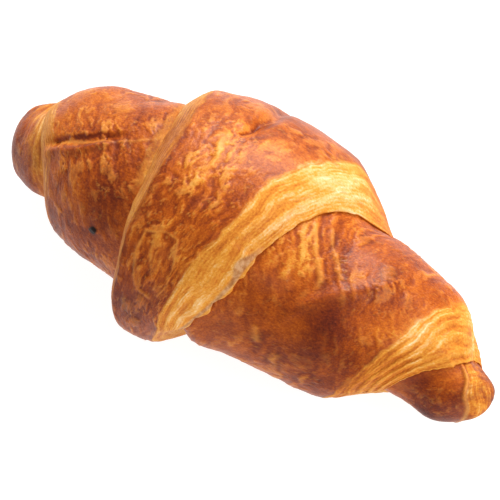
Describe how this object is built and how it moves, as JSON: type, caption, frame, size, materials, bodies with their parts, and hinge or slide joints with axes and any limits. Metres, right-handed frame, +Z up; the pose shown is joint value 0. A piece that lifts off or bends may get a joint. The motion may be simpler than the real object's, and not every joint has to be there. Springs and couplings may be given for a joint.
{
  "type": "croissant",
  "caption": "Straight baked butter croissant: a rolled triangle of laminated dough with stepped turns, cut layered edges and tapered ends, resting on a flattened base.",
  "frame": {"origin": "on the surface it rests on, below the middle of the croissant's box", "axes": "+X along the croissant towards its right end, +Z up, -Y towards the viewer"},
  "size_m": [0.1668, 0.0802, 0.0583],
  "materials": {
    "crust": "egg-washed baked crust, golden to reddish brown, satin"
  },
  "bodies": {
    "root": {"croissant": "crust"}
  },
  "joints": []
}
